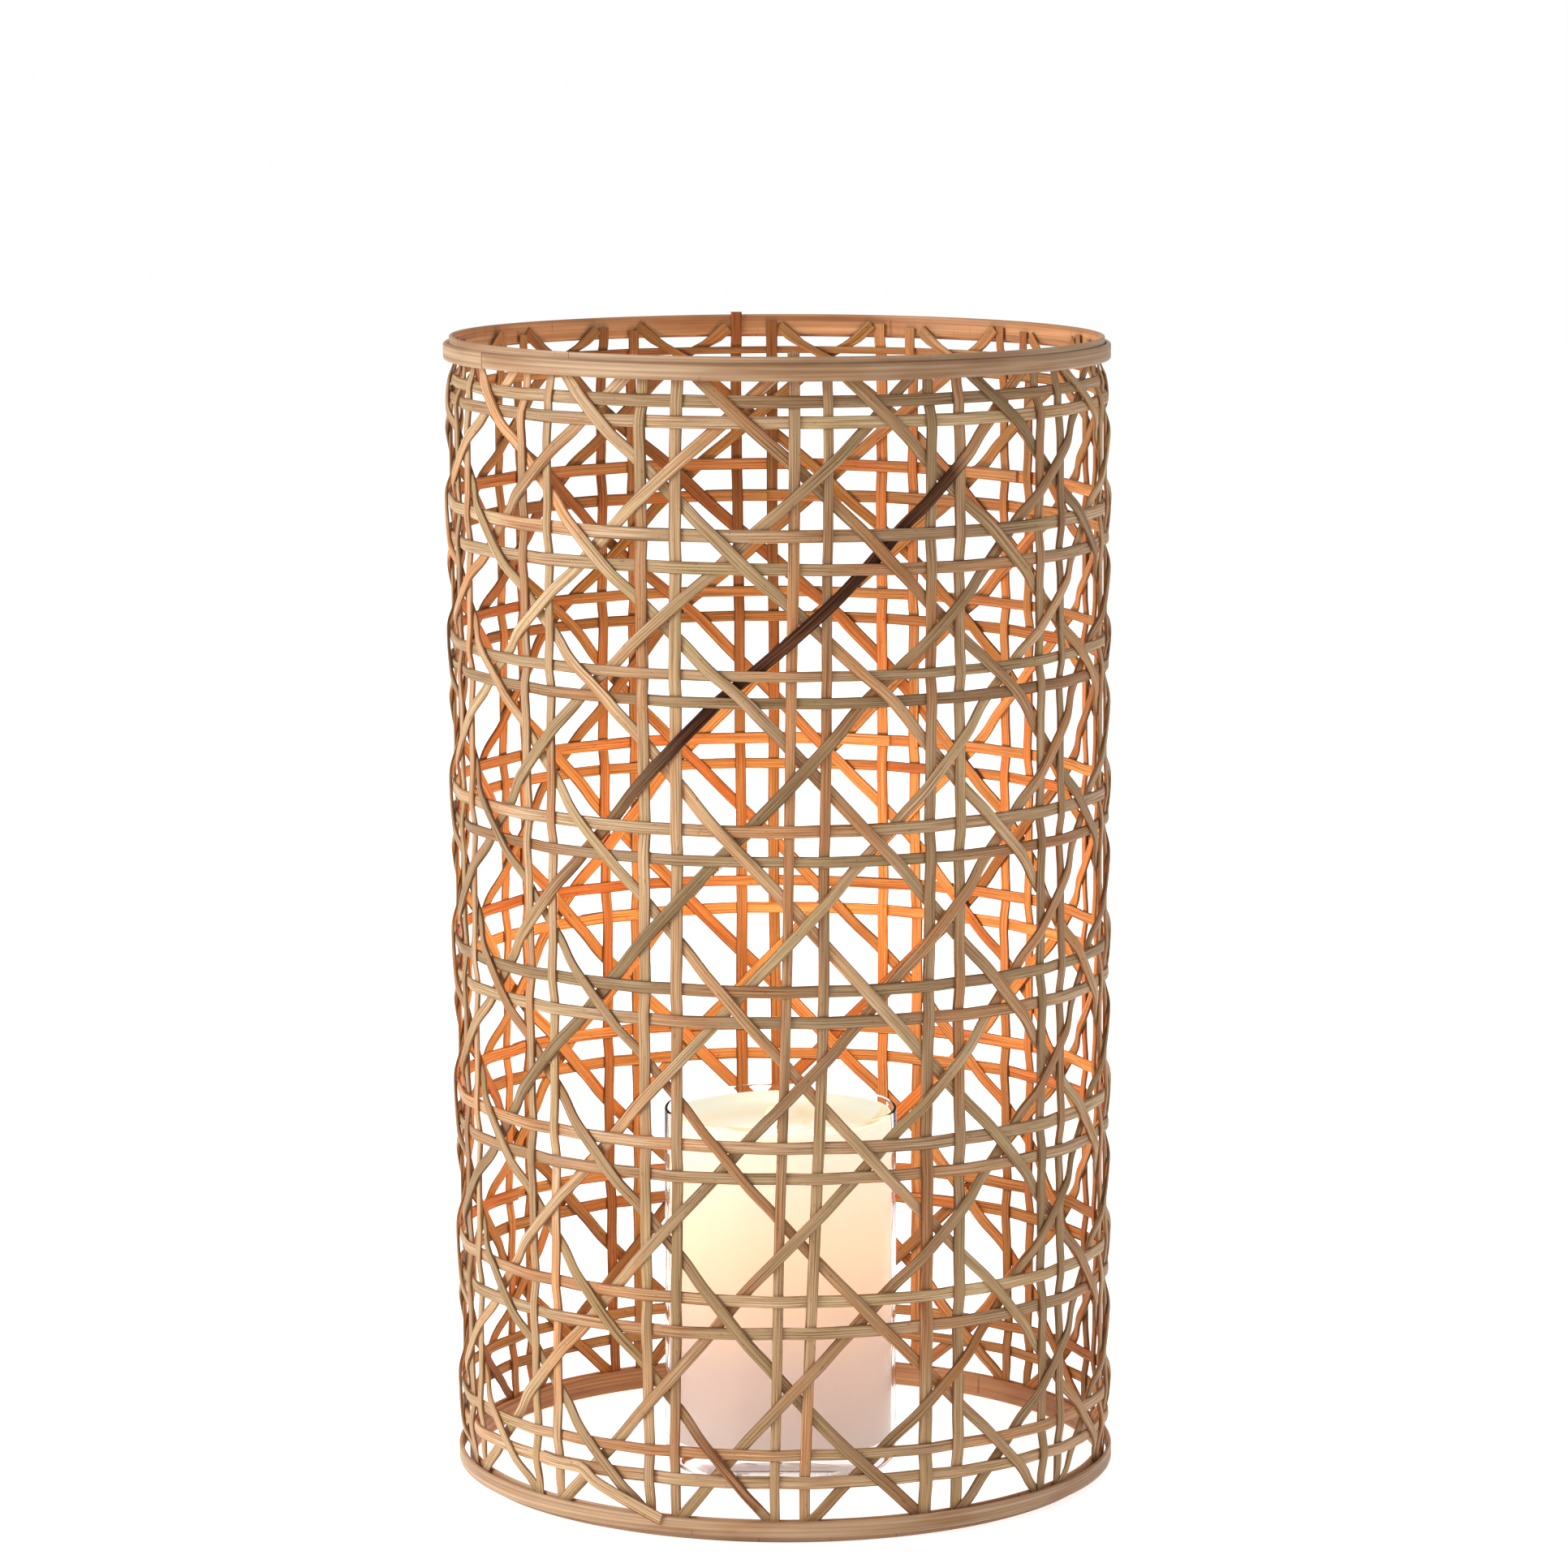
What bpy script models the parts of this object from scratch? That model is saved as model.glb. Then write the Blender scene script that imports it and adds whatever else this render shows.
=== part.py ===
"""Candle lantern: a clear glass holder with a pillar candle, inside a lift-off sleeve of open woven cane.

Metres, +Z up. The origin is on the surface that the lantern stands on, at the middle of the sleeve.
The cane follows six-way chair caning: pairs of level rings, pairs of uprights and two sets of
diagonals. Here the four sets lie in four layers, one outside the other, on a sleeve with 28 flat sides.
"""

import math

import bmesh
import bpy

# Sleeve
SLEEVE_HEIGHT = 0.408
PAIRS_AROUND = 14
SIDES = 2 * PAIRS_AROUND
WEAVE_RADIUS = 0.1162
TUCKED_RADIUS = 0.1122

# Cane strands
CANE_WIDTH = 0.0038
CANE_THICKNESS = 0.0008
CLEARANCE = 0.0003
LAYER_STEP = CANE_THICKNESS + CLEARANCE
INNER_DIAGONAL_LAYER = -1.5 * LAYER_STEP
UPRIGHT_LAYER = -0.5 * LAYER_STEP
RING_LAYER = 0.5 * LAYER_STEP
OUTER_DIAGONAL_LAYER = 1.5 * LAYER_STEP

# Ring pairs: heights of their middles, from the lowest up
LOWEST_PAIR_HEIGHT = 0.0265
PAIR_PITCH = 0.0539
TOP_PAIR_PITCH = 0.0465
PAIRS_UP = 8
WIDE_PITCHES = 5
RING_GAP = 0.0106
TOP_RING_GAP = 0.0073

# Uprights: each pair is one strand, folded at the bottom hoop
UPRIGHT_GAP = 0.0125
FOLD_SEGMENTS = 6
FOLD_FOOT = 0.0006
CANE_COLOR = (0.46, 0.31, 0.18)

# Hoops: an outer band over a thinner backing band that stands past it
OUTER_HOOP_RADIUS = 0.118
OUTER_HOOP_THICKNESS = 0.0020
OUTER_HOOP_HEIGHT = 0.0058
BACKING_HOOP_THICKNESS = 0.0013
BACKING_HOOP_HEIGHT = 0.0074
BACKING_STEP = 0.0024
HOOP_SEGMENTS = 48
HOOP_COLOR = (0.56, 0.37, 0.22)

# Where the strands turn in behind the hoops
TUCK_TOP_START = 0.3949
TUCK_TOP_END = 0.3998
TUCK_BOTTOM_START = 0.0192
TUCK_BOTTOM_END = 0.0092
STRAND_TOP = 0.4074
DIAGONAL_FOLD_HEIGHT = 0.0071
DIAGONAL_FOLD_HALF_WIDTH = 0.0025

# Glass holder and candle
GLASS_RADIUS = 0.0418
GLASS_WALL = 0.0018
GLASS_BASE = 0.009
GLASS_HEIGHT = 0.130
GLASS_EDGE = 0.0007
CANDLE_RADIUS = 0.0394
CANDLE_HEIGHT = 0.119
CANDLE_EDGE = 0.0018
MELT_DEPTH = 0.0095
MELT_FLOOR_RADIUS = 0.0245
MELT_SLOPE_RADIUS = 0.0340
MELT_SLOPE_RISE = 0.0030
WICK_RADIUS = 0.0009
WICK_DEPTH = 0.016
WICK_RISE = 0.009
WICK_LEAN = -0.0018
WICK_BEND_RISE = 0.0050
WICK_BEND_LEAN = -0.0005
TURNED_STEPS = 40
MERGE = 0.00001

PAIR_ANGLE = 2 * math.pi / PAIRS_AROUND
SIDE_ANGLE = 2 * math.pi / SIDES
FRONT = -math.pi / 2


def clear_scene():
    for obj in list(bpy.data.objects):
        bpy.data.objects.remove(obj, do_unlink=True)
    for collection in list(bpy.data.collections):
        bpy.data.collections.remove(collection)


def make_material(name, color, roughness, metallic=0.0):
    material = bpy.data.materials.new(name)
    material.use_nodes = True
    shader = material.node_tree.nodes["Principled BSDF"]
    shader.inputs["Base Color"].default_value = (*color, 1.0)
    shader.inputs["Roughness"].default_value = roughness
    shader.inputs["Metallic"].default_value = metallic
    material.diffuse_color = (*color, 1.0)
    return material


def cane_material(name, lightness):
    return make_material(name, [part * lightness for part in CANE_COLOR], 0.62)


def hoop_material(name):
    return make_material(name, HOOP_COLOR, 0.55)


def glass_material(name):
    material = make_material(name, (0.93, 0.96, 0.95), 0.03)
    shader = material.node_tree.nodes["Principled BSDF"]
    shader.inputs["Transmission Weight"].default_value = 1.0
    shader.inputs["IOR"].default_value = 1.5
    return material


def wax_material(name):
    return make_material(name, (0.88, 0.77, 0.62), 0.5)


def wick_material(name):
    return make_material(name, (0.10, 0.08, 0.06), 0.9)


def link_mesh(name, bm, collection, parent, material):
    mesh = bpy.data.meshes.new(name)
    bm.to_mesh(mesh)
    bm.free()
    mesh.materials.append(material)
    obj = bpy.data.objects.new(name, mesh)
    obj.parent = parent
    collection.objects.link(obj)
    return obj


def thicken(obj, thickness):
    """Gives an open band or ribbon its thickness, half to each side."""
    solidify = obj.modifiers.new("thickness", "SOLIDIFY")
    solidify.thickness = thickness
    solidify.offset = 0
    solidify.use_even_offset = True


def pair_height(count):
    """Height of ring pair number `count`, from 0 at the lowest, and of any point between two pairs."""
    wide = min(count, WIDE_PITCHES)
    return LOWEST_PAIR_HEIGHT + PAIR_PITCH * wide + TOP_PAIR_PITCH * (count - wide)


def pair_count(height):
    """The inverse of pair_height."""
    count = (height - LOWEST_PAIR_HEIGHT) / PAIR_PITCH
    if count <= WIDE_PITCHES:
        return count
    return WIDE_PITCHES + (height - pair_height(WIDE_PITCHES)) / TOP_PAIR_PITCH


def sleeve_radius(height):
    """Middle radius of the weave at the sleeve's corners: full in the body, and less behind the hoops."""
    if height > TUCK_TOP_START:
        tuck = (height - TUCK_TOP_START) / (TUCK_TOP_END - TUCK_TOP_START)
    else:
        tuck = (TUCK_BOTTOM_START - height) / (TUCK_BOTTOM_START - TUCK_BOTTOM_END)
    tuck = min(max(tuck, 0.0), 1.0)
    return WEAVE_RADIUS + (TUCKED_RADIUS - WEAVE_RADIUS) * tuck


def on_sleeve(angle, height, layer):
    """The point of a layer at this angle and height, on the flat side between two corners."""
    from_side_middle = (angle - FRONT) % SIDE_ANGLE - SIDE_ANGLE / 2
    flat = math.cos(SIDE_ANGLE / 2) / math.cos(from_side_middle)
    radius = (sleeve_radius(height) + layer) * flat
    return radius * math.cos(angle), radius * math.sin(angle), height


def ribbon(name, cuts, collection, parent, material):
    """A flat strand through a list of cuts. A cut is two edge points, each an angle, a height and a layer."""
    bm = bmesh.new()
    bmesh.ops.create_grid(bm, x_segments=len(cuts) - 1, y_segments=1, size=1)
    in_order = sorted(bm.verts, key=lambda vert: (round(vert.co.x, 5), vert.co.y))
    for index, vert in enumerate(in_order):
        vert.co = on_sleeve(*cuts[index // 2][index % 2])
    obj = link_mesh(name, bm, collection, parent, material)
    thicken(obj, CANE_THICKNESS)
    return obj


def level_cut(angle, height, layer, half_angle):
    return (angle - half_angle, height, layer), (angle + half_angle, height, layer)


def upright_cut(angle, height, layer, half_height):
    return (angle, height + half_height, layer), (angle, height - half_height, layer)


def make_ring(name, height, collection, parent, material):
    """One level strand: a band with a corner at each corner of the sleeve."""
    radius = sleeve_radius(height) + RING_LAYER
    bm = bmesh.new()
    bmesh.ops.create_cone(
        bm, cap_ends=False, segments=SIDES, radius1=radius, radius2=radius, depth=CANE_WIDTH
    )
    bmesh.ops.translate(bm, verts=bm.verts, vec=(0, 0, height))
    obj = link_mesh(name, bm, collection, parent, material)
    thicken(obj, CANE_THICKNESS)
    return obj


def leg_heights():
    """Heights at which an upright's leg needs a cut, from the top down to the fold."""
    return [STRAND_TOP, TUCK_TOP_END, TUCK_TOP_START, TUCK_BOTTOM_START]


def make_upright(name, angle, collection, parent, material):
    """A pair of uprights: one strand that comes down, folds inside the bottom hoop and goes back up."""
    fold_radius = UPRIGHT_GAP / 2
    half_width = CANE_WIDTH / 2
    fold_middle = FOLD_FOOT + half_width + fold_radius
    leg_angle = fold_radius / TUCKED_RADIUS
    half_angle = half_width / TUCKED_RADIUS
    left = [level_cut(angle - leg_angle, z, UPRIGHT_LAYER, half_angle) for z in leg_heights()]
    right = [level_cut(angle + leg_angle, z, UPRIGHT_LAYER, half_angle)[::-1] for z in leg_heights()]
    fold = []
    for step in range(FOLD_SEGMENTS + 1):
        turn = math.pi * step / FOLD_SEGMENTS
        cut = []
        for radius in (fold_radius + half_width, fold_radius - half_width):
            across = -radius * math.cos(turn) / TUCKED_RADIUS
            cut.append((angle + across, fold_middle - radius * math.sin(turn), UPRIGHT_LAYER))
        fold.append(tuple(cut))
    return ribbon(name, left + fold + right[::-1], collection, parent, material)


def diagonal_leg(angle, side, layer):
    """Cuts of one diagonal leg, from fold to top. side is +1 for a leg that climbs anticlockwise."""
    lean = PAIR_ANGLE * WEAVE_RADIUS
    half_height = CANE_WIDTH / 2 * math.hypot(1, PAIR_PITCH / lean)
    half_angle = CANE_WIDTH / 2 * math.hypot(1, lean / PAIR_PITCH) / WEAVE_RADIUS

    def angle_at(height):
        return angle + side * PAIR_ANGLE * (pair_count(height) + 0.5)

    cuts = [level_cut(angle_at(z), z, layer, half_angle) for z in (TUCK_BOTTOM_END, TUCK_BOTTOM_START)]
    if side < 0:
        cuts = [cut[::-1] for cut in cuts]
    for corner in range(1, 2 * PAIRS_UP):
        corner_angle = angle + side * SIDE_ANGLE * corner
        corner_height = pair_height((corner - 1) / 2)
        cuts.append(upright_cut(corner_angle, corner_height, layer, half_height))
    for z in (TUCK_TOP_START, TUCK_TOP_END, STRAND_TOP):
        cut = level_cut(angle_at(z), z, layer, half_angle)
        cuts.append(cut if side > 0 else cut[::-1])
    return cuts


def make_diagonal(name, angle, collection, parent, material):
    """A V of two diagonals: one strand, down in the outermost layer, folded, and up in the innermost."""
    outer_leg = diagonal_leg(angle, 1, OUTER_DIAGONAL_LAYER)
    inner_leg = diagonal_leg(angle, -1, INNER_DIAGONAL_LAYER)
    half_fold = DIAGONAL_FOLD_HALF_WIDTH / TUCKED_RADIUS
    half_width = CANE_WIDTH / 2
    between = (OUTER_DIAGONAL_LAYER + INNER_DIAGONAL_LAYER) / 2
    fold = [
        upright_cut(angle + half_fold, DIAGONAL_FOLD_HEIGHT, OUTER_DIAGONAL_LAYER, half_width),
        upright_cut(angle, DIAGONAL_FOLD_HEIGHT, between, half_width),
        upright_cut(angle - half_fold, DIAGONAL_FOLD_HEIGHT, INNER_DIAGONAL_LAYER, half_width),
    ]
    return ribbon(name, outer_leg[::-1] + fold + inner_leg, collection, parent, material)


def make_hoop(name, outer_radius, thickness, middle, height, collection, parent, material):
    radius = outer_radius - thickness / 2
    bm = bmesh.new()
    bmesh.ops.create_cone(
        bm, cap_ends=False, segments=HOOP_SEGMENTS, radius1=radius, radius2=radius, depth=height
    )
    bmesh.ops.translate(bm, verts=bm.verts, vec=(0, 0, middle))
    obj = link_mesh(name, bm, collection, parent, material)
    thicken(obj, thickness)
    return obj


def turned(name, profile, collection, parent, material):
    """A solid of revolution from a profile of (radius, height) points, run down its outer side."""
    bm = bmesh.new()
    verts = [bm.verts.new((radius, 0, height)) for radius, height in profile]
    for start, end in zip(verts, verts[1:]):
        bm.edges.new((start, end))
    obj = link_mesh(name, bm, collection, parent, material)
    screw = obj.modifiers.new("turn", "SCREW")
    screw.axis = "Z"
    screw.steps = TURNED_STEPS
    screw.render_steps = TURNED_STEPS
    screw.use_merge_vertices = True
    screw.merge_threshold = MERGE
    screw.use_smooth_shade = True
    return obj


def make_glass(collection, parent):
    inner = GLASS_RADIUS - GLASS_WALL
    profile = [
        (0, GLASS_BASE),
        (inner - GLASS_EDGE, GLASS_BASE),
        (inner, GLASS_BASE + GLASS_EDGE),
        (inner, GLASS_HEIGHT - GLASS_EDGE),
        (inner + GLASS_EDGE, GLASS_HEIGHT),
        (GLASS_RADIUS - GLASS_EDGE, GLASS_HEIGHT),
        (GLASS_RADIUS, GLASS_HEIGHT - GLASS_EDGE),
        (GLASS_RADIUS, 2 * GLASS_EDGE),
        (GLASS_RADIUS - 2 * GLASS_EDGE, 0),
        (0, 0),
    ]
    return turned("glass_holder", profile, collection, parent, glass_material("clear_glass"))


def make_candle(collection, parent, foot):
    top = CANDLE_HEIGHT
    pool = top - MELT_DEPTH
    bore = WICK_RADIUS + CLEARANCE
    bore_end = pool - WICK_DEPTH
    profile = [
        (0, bore_end),
        (bore, bore_end),
        (bore, pool),
        (MELT_FLOOR_RADIUS, pool),
        (MELT_SLOPE_RADIUS, pool + MELT_SLOPE_RISE),
        (CANDLE_RADIUS - 2 * CANDLE_EDGE, top),
        (CANDLE_RADIUS - CANDLE_EDGE, top),
        (CANDLE_RADIUS, top - CANDLE_EDGE),
        (CANDLE_RADIUS, CANDLE_EDGE),
        (CANDLE_RADIUS - CANDLE_EDGE, 0),
        (0, 0),
    ]
    obj = turned("pillar_candle", profile, collection, parent, wax_material("ivory_wax"))
    obj.location.z = foot
    return obj


def make_wick(collection, parent, foot):
    pool = foot + CANDLE_HEIGHT - MELT_DEPTH
    curve = bpy.data.curves.new("wick", "CURVE")
    curve.dimensions = "3D"
    curve.bevel_depth = WICK_RADIUS
    curve.bevel_resolution = 2
    curve.use_fill_caps = True
    spline = curve.splines.new("POLY")
    points = [
        (0, 0, pool - WICK_DEPTH + CLEARANCE),
        (0, 0, pool + CLEARANCE),
        (WICK_BEND_LEAN, 0, pool + WICK_BEND_RISE),
        (WICK_LEAN, 0, pool + WICK_RISE),
    ]
    spline.points.add(len(points) - 1)
    for point, place in zip(spline.points, points):
        point.co = (*place, 1)
    curve.materials.append(wick_material("cotton_wick"))
    obj = bpy.data.objects.new("wick", curve)
    obj.parent = parent
    collection.objects.link(obj)
    return obj


def make_empty(name, collection, parent=None):
    empty = bpy.data.objects.new(name, None)
    empty.empty_display_size = 0.05
    empty.parent = parent
    collection.objects.link(empty)
    return empty


def make_hoops(collection, parent):
    material = hoop_material("hoop_splint")
    backing_radius = OUTER_HOOP_RADIUS - OUTER_HOOP_THICKNESS - CLEARANCE / 2
    bands = [
        ("backing_hoop", backing_radius, BACKING_HOOP_THICKNESS, 0, BACKING_HOOP_HEIGHT),
        ("outer_hoop", OUTER_HOOP_RADIUS, OUTER_HOOP_THICKNESS, BACKING_STEP, OUTER_HOOP_HEIGHT),
    ]
    for name, radius, thickness, start, height in bands:
        bottom = start + height / 2
        top = SLEEVE_HEIGHT - bottom
        make_hoop("bottom_" + name, radius, thickness, bottom, height, collection, parent, material)
        make_hoop("top_" + name, radius, thickness, top, height, collection, parent, material)


def make_rings(collection, parent):
    material = cane_material("ring_cane", 1.05)
    for pair in range(PAIRS_UP):
        middle = pair_height(pair)
        gap = TOP_RING_GAP if pair == PAIRS_UP - 1 else RING_GAP
        make_ring(f"ring_cane_{pair + 1}_lower", middle - gap / 2, collection, parent, material)
        make_ring(f"ring_cane_{pair + 1}_upper", middle + gap / 2, collection, parent, material)


def make_uprights(collection, parent):
    material = cane_material("upright_cane", 0.95)
    for pair in range(PAIRS_AROUND):
        angle = FRONT + PAIR_ANGLE * pair
        make_upright(f"upright_cane_{pair + 1:02d}", angle, collection, parent, material)


def make_diagonals(collection, parent):
    material = cane_material("diagonal_cane", 0.88)
    for pair in range(PAIRS_AROUND):
        angle = FRONT + PAIR_ANGLE * pair
        make_diagonal(f"diagonal_cane_{pair + 1:02d}", angle, collection, parent, material)


def main():
    clear_scene()
    collection = bpy.data.collections.new("cane_candle_lantern")
    bpy.context.scene.collection.children.link(collection)
    glass_frame = make_empty("glass_frame", collection)
    sleeve_frame = make_empty("sleeve_frame", collection, glass_frame)
    candle_frame = make_empty("candle_frame", collection, glass_frame)
    candle_foot = GLASS_BASE + CLEARANCE
    make_glass(collection, glass_frame)
    make_candle(collection, candle_frame, candle_foot)
    make_wick(collection, candle_frame, candle_foot)
    make_hoops(collection, sleeve_frame)
    make_rings(collection, sleeve_frame)
    make_uprights(collection, sleeve_frame)
    make_diagonals(collection, sleeve_frame)


main()
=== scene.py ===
import bpy
import bmesh
import math
import random
import numpy as np
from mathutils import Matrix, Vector


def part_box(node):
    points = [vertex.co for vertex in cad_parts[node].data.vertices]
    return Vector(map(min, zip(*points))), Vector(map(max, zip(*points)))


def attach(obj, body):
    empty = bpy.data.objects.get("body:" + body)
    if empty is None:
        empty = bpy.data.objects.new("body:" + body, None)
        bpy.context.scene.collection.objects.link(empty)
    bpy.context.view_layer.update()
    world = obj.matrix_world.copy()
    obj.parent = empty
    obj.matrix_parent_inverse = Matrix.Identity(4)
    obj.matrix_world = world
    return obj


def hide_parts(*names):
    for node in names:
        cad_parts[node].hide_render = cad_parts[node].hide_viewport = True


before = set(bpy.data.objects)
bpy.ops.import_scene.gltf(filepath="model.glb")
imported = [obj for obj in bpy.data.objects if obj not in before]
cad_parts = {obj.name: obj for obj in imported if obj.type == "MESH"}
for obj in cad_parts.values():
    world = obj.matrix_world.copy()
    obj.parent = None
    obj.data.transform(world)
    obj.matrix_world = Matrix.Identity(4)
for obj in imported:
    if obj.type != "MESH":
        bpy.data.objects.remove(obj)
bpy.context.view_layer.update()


def dropSelection():
    for obj in list(bpy.context.selected_objects):
        obj.select_set(False)
    bpy.context.view_layer.objects.active = None


def pick(obj):
    dropSelection()
    obj.select_set(True)
    bpy.context.view_layer.objects.active = obj


def applyPlace(obj):
    pick(obj)
    bpy.ops.object.transform_apply(location=True, rotation=True, scale=True)


def smoothShade(obj, degrees=50):
    pick(obj)
    bpy.ops.object.shade_smooth_by_angle(angle=math.radians(degrees))


def copyOf(blank, name):
    mesh = blank.data.copy()
    mesh.name = name
    obj = bpy.data.objects.new(name, mesh)
    bpy.context.scene.collection.objects.link(obj)
    return obj


def readPoints(mesh):
    points = np.empty(len(mesh.vertices) * 3)
    mesh.vertices.foreach_get("co", points)
    return points.reshape(-1, 3)


def writePoints(mesh, points):
    mesh.vertices.foreach_set("co", points.astype(np.float32).ravel())
    mesh.update()


def selectEdges(obj, wanted):
    # wanted takes the places of an edge's two ends
    bm = bmesh.from_edit_mesh(obj.data)
    for item in (*bm.verts, *bm.edges, *bm.faces):
        item.select = False
    for edge in bm.edges:
        edge.select = wanted(*(vert.co for vert in edge.verts))
    bm.select_flush_mode()
    bmesh.update_edit_mesh(obj.data)


def smoothStep(value):
    value = np.clip(value, 0, 1)
    return value * value * (3 - 2 * value)


def easeThrough(x, places, values):
    # eases from value to value, level at each place
    index = np.clip(np.searchsorted(places, x, side="right") - 1, 0, len(places) - 2)
    low, high = places[index], places[index + 1]
    share = smoothStep((x - low) / (high - low))
    return values[index] + (values[index + 1] - values[index]) * share


def slowWave(amount, waves, rng):
    # a sum of a few slow sines, the same on every run
    parts = [(amount * rng.uniform(0.4, 1) / n, n, rng.uniform(0, 2 * math.pi)) for n in range(1, waves + 1)]
    return lambda turn: sum(a * np.sin(n * turn + phase) for a, n, phase in parts)


shot = {"distance": 2.011, "height": 0.536, "pitch": 8.17, "azimuth": -4.17, "aimRight": 0.035,
        "focal": 130.4, "sensor": 36, "farClip": 50}


def makeCamera():
    camData = bpy.data.cameras.new("mainCamera")
    camData.lens = shot["focal"]
    camData.sensor_width = shot["sensor"]
    camera = bpy.data.objects.new("mainCamera", camData)
    bpy.context.scene.collection.objects.link(camera)
    turn = math.radians(shot["azimuth"])
    camera.location = (math.sin(turn) * shot["distance"], -math.cos(turn) * shot["distance"], shot["height"])
    camera.rotation_mode = "XYZ"
    camera.rotation_euler = (math.radians(90 - shot["pitch"]), 0, turn - math.radians(shot["aimRight"]))
    camData.clip_end = shot["farClip"]
    bpy.context.scene.camera = camera


# each lamp is x, y, z, power and size
lights = {"skyGlow": 0.42, "skyTint": (1, 0.985, 0.97), "skySeen": 1.0,
          "floorSize": 12, "floorColor": (0.93, 0.93, 0.925), "floorGlow": 0.75, "floorGives": 0.22,
          "aimHeight": 0.2, "key": (-2.6, -0.9, 1.3, 62, 1.5), "fill": (2.4, -1.2, 0.9, 6, 1.4),
          "back": (0.3, 2.2, 1.6, 8, 1.6)}


def makeSky():
    # what the camera sees is white, and what lights the lantern is dimmer
    world = bpy.data.worlds.new("studioSky")
    world.use_nodes = True
    tree = world.node_tree
    glow = tree.nodes["Background"]
    glow.inputs["Color"].default_value = (*lights["skyTint"], 1)
    glow.inputs["Strength"].default_value = lights["skyGlow"]
    seen = tree.nodes.new("ShaderNodeBackground")
    seen.inputs["Color"].default_value = (1, 1, 1, 1)
    seen.inputs["Strength"].default_value = lights["skySeen"]
    rays = tree.nodes.new("ShaderNodeLightPath")
    mix = tree.nodes.new("ShaderNodeMixShader")
    either = tree.nodes.new("ShaderNodeMath")
    either.operation = "MAXIMUM"
    tree.links.new(rays.outputs["Is Camera Ray"], either.inputs[0])
    tree.links.new(rays.outputs["Is Transmission Ray"], either.inputs[1])
    tree.links.new(either.outputs[0], mix.inputs["Fac"])
    tree.links.new(glow.outputs["Background"], mix.inputs[1])
    tree.links.new(seen.outputs["Background"], mix.inputs[2])
    tree.links.new(mix.outputs["Shader"], tree.nodes["World Output"].inputs["Surface"])
    bpy.context.scene.world = world


def makeAreaLight(name, x, y, z, power, size):
    lampData = bpy.data.lights.new(name, "AREA")
    lampData.energy = power
    lampData.size = size
    lamp = bpy.data.objects.new(name, lampData)
    lamp.location = (x, y, z)
    aim = Vector((0, 0, lights["aimHeight"])) - lamp.location
    lamp.rotation_euler = aim.to_track_quat("-Z", "Y").to_euler()
    bpy.context.scene.collection.objects.link(lamp)


def makeFloor():
    dropSelection()
    bpy.ops.mesh.primitive_plane_add(size=lights["floorSize"], location=(0, 0, 0))
    floor = bpy.context.active_object
    floor.name = "studioFloor"
    material = bpy.data.materials.new("paleFloor")
    material.use_nodes = True
    shader = material.node_tree.nodes["Principled BSDF"]
    shader.inputs["Base Color"].default_value = (*lights["floorColor"], 1)
    shader.inputs["Roughness"].default_value = 0.8
    shader.inputs["Specular IOR Level"].default_value = 0.1
    shader.inputs["Emission Color"].default_value = (1, 1, 1, 1)
    tree = material.node_tree
    rays = tree.nodes.new("ShaderNodeLightPath")
    glow = tree.nodes.new("ShaderNodeMapRange")
    glow.inputs["To Min"].default_value = lights["floorGlow"]
    glow.inputs["To Max"].default_value = lights["floorGives"]
    tree.links.new(rays.outputs["Is Diffuse Ray"], glow.inputs["Value"])
    tree.links.new(glow.outputs["Result"], shader.inputs["Emission Strength"])
    floor.data.materials.append(material)


makeCamera()
makeSky()
makeFloor()
for lampName in ("key", "fill", "back"):
    makeAreaLight(lampName + "Light", *lights[lampName])
bpy.context.scene.view_settings.view_transform = "Standard"
bpy.context.scene.view_settings.look = "None"
print("studio ready")


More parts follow.
